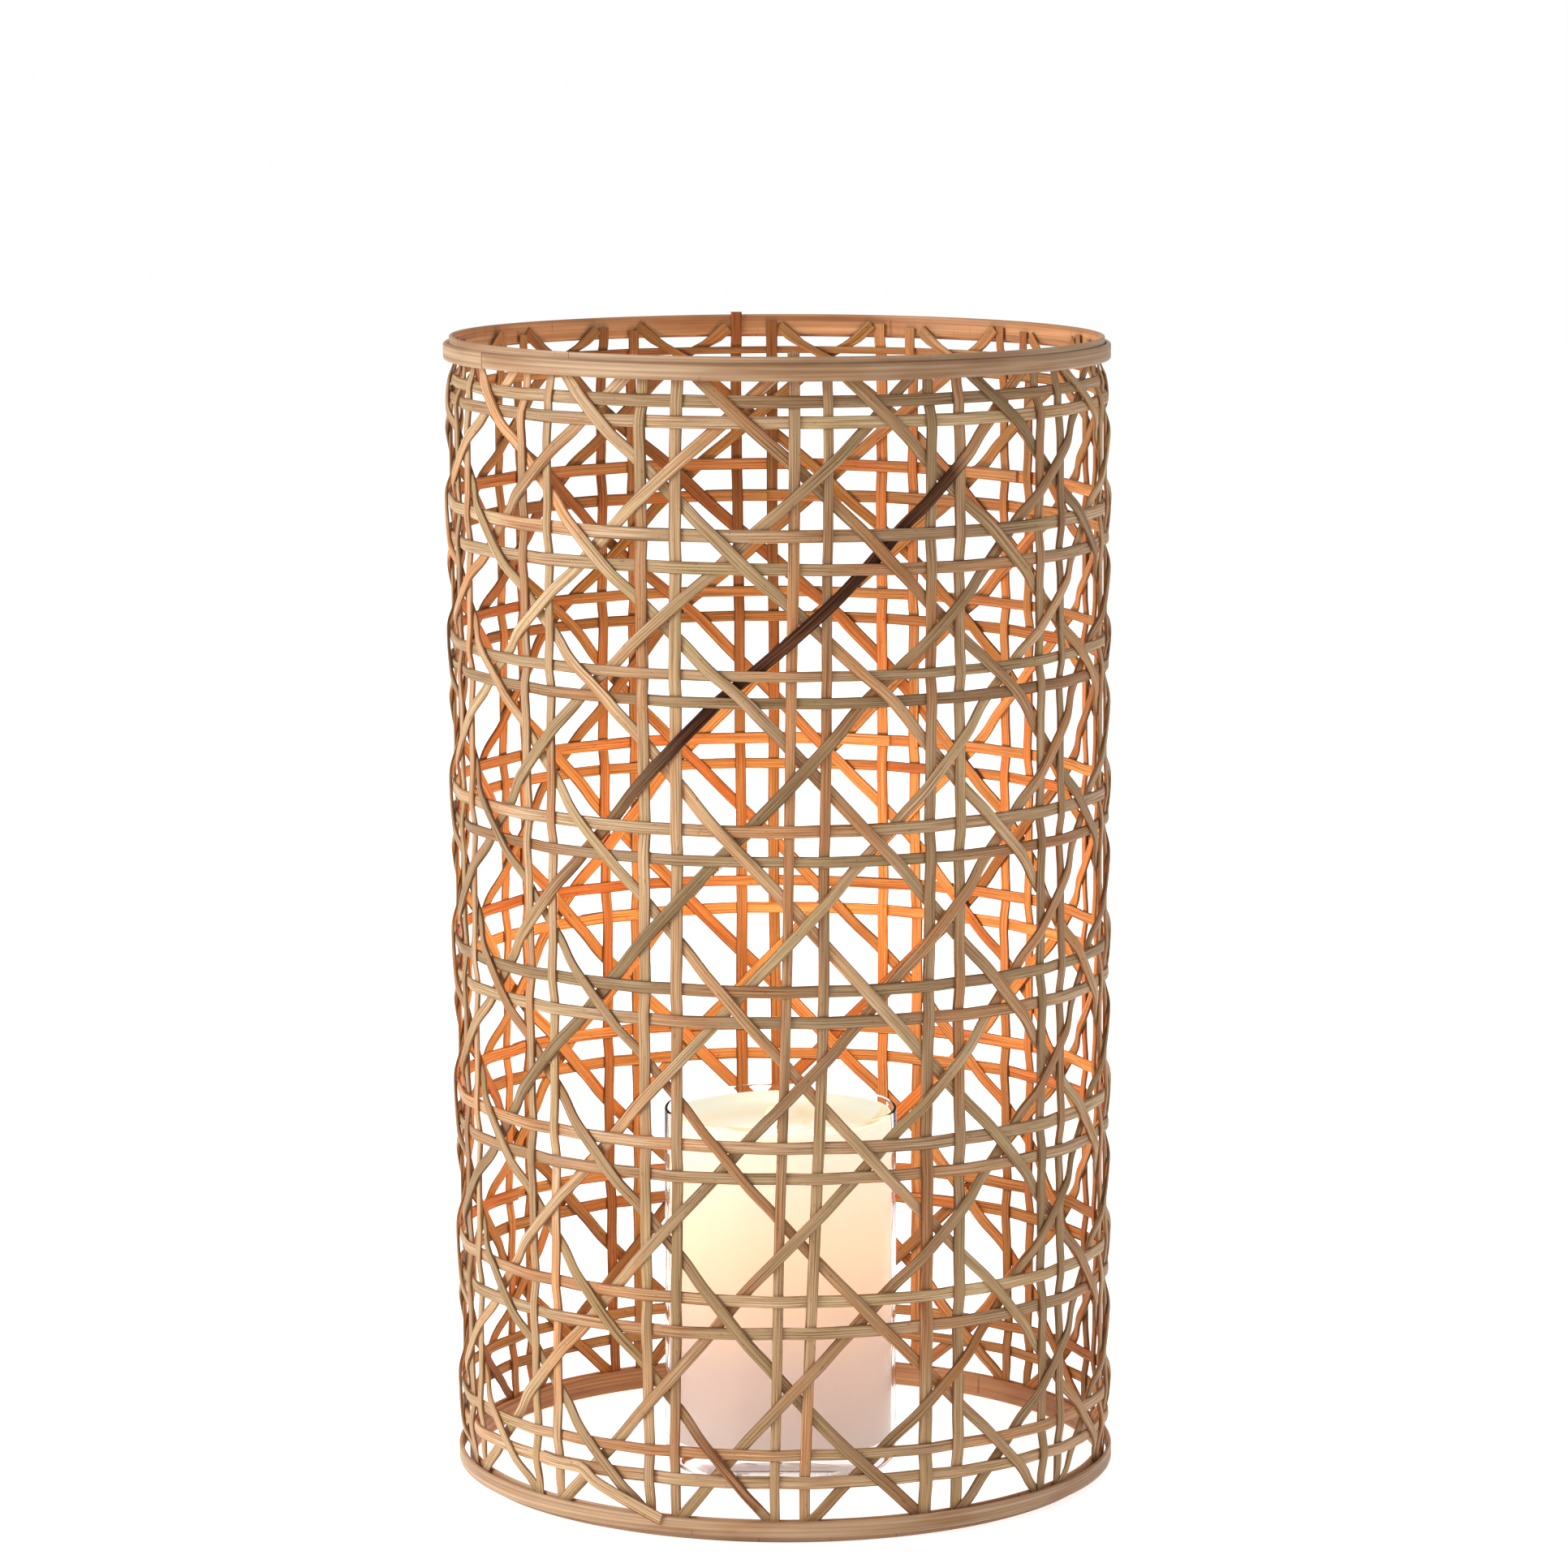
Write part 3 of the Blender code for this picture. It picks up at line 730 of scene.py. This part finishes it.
def makeSplintMaterial():
    desk = NodeDesk("hoopSplint")
    fine = desk.noise(desk.coords("UV", (9, 1100, 1)), 5, 0.6)
    broad = desk.noise(desk.coords("UV", (4.2, 260, 1)), 2)
    color = desk.ramp(fine, [(0.28, hoopLook["dark"]), (0.48, hoopLook["mid"]), (0.70, hoopLook["light"])])
    tones = [(0.32, hoopLook["broadDark"]), (0.52, (1, 1, 1)), (0.70, hoopLook["broadLight"])]
    color = desk.blend(1.0, color, desk.ramp(broad, tones), "MULTIPLY")
    nodeSpots = desk.noise(desk.coords("UV", (420, 60, 1), (2.0, 0, 0)), 1)
    scars = desk.ramp(nodeSpots, [(0.24, hoopLook["scar"]), (0.30, (1, 1, 1))])
    color = desk.blend(0.5, color, scars, "MULTIPLY")
    patch = desk.noise(desk.coords("UV", (24, 130, 1), (6.0, 2.0, 0)), 2)
    patches = [(0.36, hoopLook["patchDark"]), (0.50, (1, 1, 1)), (0.68, hoopLook["patchLight"])]
    color = desk.blend(0.8, color, desk.ramp(patch, patches), "MULTIPLY")
    # painted flame light and shade: the inner face is tinted warmer, for the flame's light inside the sleeve
    inner = desk.blend(1.0, color, hoopLook["inside"], "MULTIPLY")
    color = desk.blend(desk.attribute("innerFace"), color, inner)
    desk.link(color, desk.shader.inputs["Base Color"])
    low, high = hoopLook["roughness"]
    desk.link(desk.ramp(fine, [(0.3, (high,)), (0.7, (low,))]), desk.shader.inputs["Roughness"])
    desk.set(Specular_IOR_Level=hoopLook["specular"])
    desk.bump(fine, hoopLook["bump"], hoopLook["bumpDepth"])
    return desk.material


hoopSplint = makeSplintMaterial()


def makeHoop(node, name, lapAngle, edge, seed):
    rng = random.Random(seed)
    low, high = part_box(node)
    middle = (low.z + high.z) / 2
    outer = (high.x - low.x) / 2
    thickness = hoopLook["outerThick" if "outer" in node else "backingThick"]
    tall = high.z - low.z
    radius = outer - thickness / 2
    if node == "bottom_backing_hoop":
        # the strands' feet run between it and the outer hoop
        radius -= hoopLook["footInset"]
        tall += hoopLook["footRise"]
        middle += hoopLook["footRise"] / 2 + hoopLook["footLift"]
    if node == "bottom_outer_hoop":
        thickness *= hoopLook["footThinning"]
        radius = outer - thickness / 2 + hoopLook["footOut"]
    turnLength = 2 * math.pi * radius + hoopLook["lap"]
    strand = straightStrand(name, turnLength, tall, thickness, edge, hoopLook["step"], 3)
    start = math.radians(lapAngle)
    lapTurn = hoopLook["lap"] / radius
    angle = np.linspace(start, start + 2 * math.pi + lapTurn, hoopLook["points"])
    share = (angle - start) / (2 * math.pi + lapTurn)
    lapShare = lapTurn / (2 * math.pi + lapTurn)
    first = 1 - np.clip(share / lapShare, 0, 1)
    last = np.clip((share - 1 + lapShare) / lapShare, 0, 1)
    wobble = slowWave(hoopLook["wobble"], 4, rng)
    offset = (last - first) * thickness * hoopLook["lapShift"]
    path = {"angle": angle, "height": middle + wobble(angle) * 0.6, "offset": offset}

    def thin(place):
        scarf = np.minimum(np.clip(place / lapShare, 0, 1), np.clip((1 - place) / lapShare, 0, 1))
        return hoopLook["scarf"] + (1 - hoopLook["scarf"]) * scarf

    def evenRadius(height):
        return np.full(np.shape(height), radius)

    grain = hoopLook["grainStart"] + hoopLook["grainShift"] * seed
    lay(strand, path, evenRadius, grain, None, thin, squeezed=False)
    finishStrand(strand, hoopSplint, node)


makeHoop("top_outer_hoop", "topOuterHoop", 174, hoopLook["outerEdge"], 1)
makeHoop("top_backing_hoop", "topBackingHoop", 196, hoopLook["backingEdge"], 2)
makeHoop("bottom_outer_hoop", "bottomOuterHoop", 70, hoopLook["outerEdge"], 3)
makeHoop("bottom_backing_hoop", "bottomBackingHoop", 25, hoopLook["backingEdge"], 4)
print("hoops made")


def turnedPiece(name, profile, steps):
    # a profile of (radius, height) points spun round the upright axis
    dropSelection()
    bpy.ops.mesh.primitive_plane_add(size=0.001)
    piece = bpy.context.active_object
    piece.name = name
    bpy.ops.object.mode_set(mode="EDIT")
    bpy.ops.mesh.select_all(action="SELECT")
    bpy.ops.mesh.delete(type="ONLY_FACE")
    bpy.ops.mesh.select_mode(type="VERT")
    bm = bmesh.from_edit_mesh(piece.data)
    bmesh.ops.delete(bm, geom=list(bm.verts)[1:], context="VERTS")
    bm.verts.ensure_lookup_table()
    bm.verts[0].co = (profile[0][0], 0, profile[0][1])
    bm.verts[0].select = True
    bmesh.update_edit_mesh(piece.data)
    for (x0, z0), (x1, z1) in zip(profile, profile[1:]):
        bpy.ops.mesh.extrude_region_move(TRANSFORM_OT_translate={"value": (x1 - x0, 0, z1 - z0)})
    bpy.ops.mesh.select_all(action="SELECT")
    bpy.ops.mesh.spin(steps=steps, angle=2 * math.pi, center=(0, 0, 0), axis=(0, 0, 1))
    bpy.ops.mesh.select_all(action="SELECT")
    bpy.ops.mesh.remove_doubles(threshold=0.000005)
    bpy.ops.mesh.normals_make_consistent(inside=False)
    bpy.ops.object.mode_set(mode="OBJECT")
    return piece


def arcPoints(middle, radius, start, end, count):
    turns = [math.radians(start + (end - start) * i / count) for i in range(count + 1)]
    return [(middle[0] + radius * math.cos(a), middle[1] + radius * math.sin(a)) for a in turns]


glassLow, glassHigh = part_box("glass_holder")
candleLow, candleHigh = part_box("pillar_candle")
glassLook = {"wall": 0.0011, "rimRound": 0.00055, "footRound": 0.0035, "baseRound": 0.0020, "steps": 144,
             "clear": (0.985, 0.99, 0.988), "clearest": (0.995, 0.998, 0.996),
             # waxRefractionTint is a painted refraction of the wax bottom seen through the thick base
             "waxRefractionTint": (0.92, 0.88, 0.87), "ior": 1.06}


def makeGlass():
    outer = (glassHigh.x - glassLow.x) / 2
    inner = outer - glassLook["wall"]
    floorTop = candleLow.z - 0.0003
    rim, foot, well = glassLook["rimRound"], glassLook["footRound"], glassLook["baseRound"]
    profile = [(0, floorTop - 0.0006), (inner * 0.55, floorTop - 0.0005)]
    profile += arcPoints((inner - well, floorTop + well - 0.0002), well, 270, 360, 6)
    profile += [(inner, 0.05), (inner, 0.09)]
    profile += arcPoints((outer - rim, glassHigh.z - rim), rim, 180, 0, 10)
    profile += [(outer, 0.09), (outer, 0.05)]
    profile += arcPoints((outer - foot, foot), foot, 0, -78, 8)
    profile += [(outer - foot * 1.4, 0.0), (outer * 0.80, 0.0), (outer * 0.72, 0.0008), (0, 0.0014)]
    glass = turnedPiece("clearGlassHolder", profile, glassLook["steps"])
    desk = NodeDesk("clearGlass")
    smear = desk.noise(desk.coords("Object", (22, 22, 7)), 2, 0.4)
    clear = desk.ramp(smear, [(0.3, glassLook["clear"]), (0.7, glassLook["clearest"])])
    # painted refraction: the base is tinted pinkish grey, for the wax bottom seen through the thick glass
    span = desk.share(desk.coords("Object", (1, 1, 1)), "Z", 0, floorTop + 0.004)
    inBase = desk.ramp(span, [(0.0, (1.0,)), (0.6, (1.0,)), (0.85, (0.0,))])
    desk.link(desk.blend(inBase, clear, glassLook["waxRefractionTint"]), desk.shader.inputs["Base Color"])
    desk.set(Roughness=0.0, IOR=glassLook["ior"], Transmission_Weight=1.0)
    glass.data.materials.append(desk.material)
    smoothShade(glass, 40)
    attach(glass, "glass")
    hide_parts("glass_holder")


makeGlass()
print("glass made")


# the bowl is (share of the radius, height over the pool)
candleLook = {"steps": 160, "grow": 0.0008, "poolDrop": 0.0095, "lip": 0.0012, "footRound": 0.0016,
              "lipSag": 0.0007, "soften": 0.012, "inward": 0.0035,
              "bowl": ((0.3, -0.0003), (0.58, 0), (0.66, 0.0006), (0.76, 0.0024), (0.86, 0.0050),
                       (0.93, 0.0074))}
# colours by height, from the foot up, and in the melted bowl by share of the radius; the body colour and the
# glow are painted light, the flame's light through the wax
waxLook = {"body": ((0.0, (0.60, 0.48, 0.42)), (0.25, (0.66, 0.50, 0.42)), (0.55, (0.78, 0.58, 0.42)),
                    (0.8, (0.85, 0.72, 0.52)), (1.0, (0.86, 0.76, 0.56))),
           "glow": ((0.0, (0.08, 0.080, 0.078)), (0.27, (0.25, 0.170, 0.135)), (0.45, (0.42, 0.265, 0.16)),
                    (0.62, (0.49, 0.350, 0.21)), (0.85, (0.47, 0.41, 0.32)), (1.0, (0.46, 0.44, 0.39))),
           "pooled": ((0.0, (0.92, 0.95, 0.88)), (0.16, (0.83, 0.89, 0.84)), (0.34, (0.78, 0.84, 0.77)),
                      (0.60, (0.75, 0.78, 0.67)), (0.80, (0.70, 0.67, 0.50)), (0.93, (0.70, 0.75, 0.63))),
           # meltedBase is the dark base colour under the pool's painted glow
           "ochre": (0.96, 0.74, 0.42), "meltedBase": (0.05, 0.048, 0.045)}


def makeCandle():
    radius = (candleHigh.x - candleLow.x) / 2 + candleLook["grow"]
    top, bottom = candleHigh.z, candleLow.z
    pool = top - candleLook["poolDrop"]
    lip, foot = candleLook["lip"], candleLook["footRound"]
    profile = [(0, pool - 0.0004)] + [(radius * share, pool + rise) for share, rise in candleLook["bowl"]]
    profile += arcPoints((radius - lip, top - lip), lip, 150, 0, 9)
    profile += [(radius, top - (top - bottom) * n / 14) for n in range(1, 14)]
    profile += arcPoints((radius - foot, bottom + foot), foot, 0, -90, 5)
    profile += [(0, bottom)]
    candle = turnedPiece("pillarCandle", profile, candleLook["steps"])
    points = readPoints(candle.data)
    turn = np.arctan2(points[:, 1], points[:, 0])
    nearTop = smoothStep((points[:, 2] - top) / candleLook["soften"] + 1)
    rim = smoothStep(np.hypot(points[:, 0], points[:, 1]) / radius * 2 - 1)
    sag = 0.5 * np.sin(turn * 2 + 0.6) + 0.3 * np.sin(turn * 3 + 2.1) + 0.2 * np.sin(turn * 5 + 0.3) - 0.6
    points[:, 2] += candleLook["lipSag"] * sag * nearTop * rim
    inward = 1 - candleLook["inward"] * nearTop * (1 + np.sin(turn * 2 + 1.0)) * rim
    points[:, 0] *= inward
    points[:, 1] *= inward
    writePoints(candle.data, points)
    candle.data.materials.append(makeWax(bottom, top))
    smoothShade(candle, 50)
    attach(candle, "candle")
    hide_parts("pillar_candle")


def makeWax(bottom, top):
    # painted light: the wax's colour and its emission stand in for the flame's light through the wax, warm
    # and bright at the top and cool and dim at the foot
    desk = NodeDesk("ivoryWax")
    span = desk.share(desk.coords("Object", (1, 1, 1)), "Z", bottom, top)
    cloud = desk.noise(desk.coords("Object", (22, 22, 14)))
    mottled = desk.ramp(cloud, [(0.3, (0.94, 0.93, 0.92)), (0.7, (1.04, 1.04, 1.04))])
    # painted light: the body colour by height is warm at the top, for the flame's light through the wax
    body = desk.ramp(span, waxLook["body"])
    # melted wax inside the lip: cream, with an ochre edge where it has pooled; the ochre is the wax's own
    # colour, and the pool's cream brightness is emitted, painted light of the flame
    out = desk.add("ShaderNodeVectorMath", operation="LENGTH")
    desk.link(desk.coords("Object", (1, 1, 0)), out.inputs[0])
    inside = desk.add("ShaderNodeMapRange")
    inside.inputs["From Max"].default_value = candleHigh.x
    desk.link(out.outputs["Value"], inside.inputs["Value"])
    # painted light: the emission by height stands in for the flame's light through the wax
    glow = desk.ramp(span, waxLook["glow"])
    pooled = desk.ramp(inside.outputs["Result"], waxLook["pooled"])
    blot = desk.noise(desk.coords("Object", (48, 48, 30), (0.3, 0.9, 0)), 2)
    ochre = desk.ramp(blot, [(0.50, (1, 1, 1)), (0.64, waxLook["ochre"])])
    pooled = desk.blend(1.0, pooled, ochre, "MULTIPLY")
    ridge = desk.ramp(inside.outputs["Result"], [(0.985, (1.0,)), (1.0, (0.0,))])
    above = desk.ramp(span, [(0.90, (0.0,)), (0.915, (1.0,))])
    melted = desk.blend(1.0, ridge, above, "MULTIPLY")
    glow = desk.blend(melted, glow, pooled)
    solid = desk.blend(1.0, body, mottled, "MULTIPLY")
    # the melted pool's base colour is dark, so that its painted glow alone gives its colour
    desk.link(desk.blend(melted, solid, waxLook["meltedBase"]), desk.shader.inputs["Base Color"])
    desk.link(glow, desk.shader.inputs["Emission Color"])
    desk.set(Roughness=0.42, Emission_Strength=1.0, Specular_IOR_Level=0.4)
    desk.set(Coat_Weight=0.12, Coat_Roughness=0.25)
    desk.bump(desk.noise(desk.coords("Object", (160, 160, 60))), 0.08, 0.0004)
    return desk.material


wickLow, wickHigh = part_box("wick")
wickLook = {"radius": 0.0010, "sides": 18, "cuts": 26, "ridges": 0.20, "twist": 16, "taper": 0.25}
flameLook = {"height": 0.0124, "radius": 0.0026, "lean": -0.0030, "steps": 48, "strength": 2.2,
             "power": 0.85, "lampHeight": 0.195, "color": (1.0, 0.52, 0.19), "size": 0.010}


def makeWick():
    pool = candleHigh.z - candleLook["poolDrop"] - 0.0006
    dropSelection()
    bpy.ops.mesh.primitive_cylinder_add(vertices=wickLook["sides"], radius=wickLook["radius"],
                                        depth=wickHigh.z - pool + 0.002,
                                        location=(0, 0, (wickHigh.z + pool) / 2 - 0.001))
    wick = bpy.context.active_object
    wick.name = "charredWick"
    applyPlace(wick)
    bpy.ops.object.mode_set(mode="EDIT")
    bpy.ops.mesh.select_mode(type="EDGE")
    selectEdges(wick, lambda a, b: abs(a.z - b.z) > 0.004)
    bpy.ops.mesh.subdivide(number_cuts=wickLook["cuts"])
    bpy.ops.object.mode_set(mode="OBJECT")
    points = readPoints(wick.data)
    rise = (points[:, 2] - pool) / (wickHigh.z - pool)
    turn = np.arctan2(points[:, 1], points[:, 0])
    plies = 1 + wickLook["ridges"] * np.cos(3 * turn + rise * wickLook["twist"])
    thinning = plies * (1 - wickLook["taper"] * np.clip(rise, 0, 1))
    points[:, 0] = points[:, 0] * thinning + flameLook["lean"] * np.clip(rise, 0, 2) ** 2
    points[:, 1] *= thinning
    writePoints(wick.data, points)
    desk = NodeDesk("charredCotton")
    rough = desk.noise(desk.coords("Object", (900, 900, 900)), 3, 0.6)
    char = desk.ramp(rough, [(0.3, (0.012, 0.009, 0.008)), (0.7, (0.09, 0.06, 0.045))])
    desk.link(char, desk.shader.inputs["Base Color"])
    desk.set(Roughness=0.9)
    desk.bump(rough, 0.5, 0.0002)
    wick.data.materials.append(desk.material)
    smoothShade(wick, 60)
    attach(wick, "candle")
    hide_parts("wick")


def makeFlame():
    base = candleHigh.z - candleLook["poolDrop"] - 0.0012
    tall, wide = flameLook["height"], flameLook["radius"]
    profile = []
    for n in range(25):
        share = n / 24
        swell = math.sin(math.pi * share ** 0.62) ** 0.8 * (1 - 0.18 * share)
        profile.append((wide * max(swell, 0), base + tall * (1 - share)))
    profile = [(0, base + tall)] + [(max(r, 0.00002), z) for r, z in profile[1:-1]] + [(0, base)]
    flame = turnedPiece("flame", profile, flameLook["steps"])
    points = readPoints(flame.data)
    rise = (points[:, 2] - base) / tall
    points[:, 0] += flameLook["lean"] * (0.75 + 0.35 * np.sin(rise * 2.4))
    writePoints(flame.data, points)
    desk = NodeDesk("flameGlow")
    span = desk.share(desk.coords("Object", (1, 1, 1)), "Z", base, base + tall)
    glow = desk.ramp(span, [(0.0, (0.45, 0.30, 0.20)), (0.12, (1.0, 0.70, 0.35)), (0.28, (1.0, 0.90, 0.66)),
                            (0.72, (1.0, 0.86, 0.55)), (1.0, (1.0, 0.48, 0.10))])
    facing = desk.add("ShaderNodeLayerWeight")
    facing.inputs["Blend"].default_value = 0.35
    edgeColors = [(0.25, (1, 1, 1)), (0.52, (0.52, 0.34, 0.16)), (0.80, (0.36, 0.15, 0.035))]
    halo = desk.ramp(facing.outputs["Facing"], edgeColors)
    desk.link(desk.blend(1.0, glow, halo, "MULTIPLY"), desk.shader.inputs["Emission Color"])
    desk.set(Base_Color=(0.9, 0.6, 0.3, 1), Emission_Strength=flameLook["strength"], Roughness=1.0)
    flame.data.materials.append(desk.material)
    smoothShade(flame, 80)
    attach(flame, "candle")
    lampData = bpy.data.lights.new("flameLight", "POINT")
    lampData.energy = flameLook["power"]
    lampData.color = flameLook["color"]
    lampData.shadow_soft_size = flameLook["size"]
    lamp = bpy.data.objects.new("flameLight", lampData)
    lamp.location = (flameLook["lean"], 0, flameLook["lampHeight"])
    lamp.visible_camera = False
    lamp.visible_transmission = False
    bpy.context.scene.collection.objects.link(lamp)
    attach(lamp, "candle")


makeCandle()
makeWick()
makeFlame()
print("candle, wick and flame made")
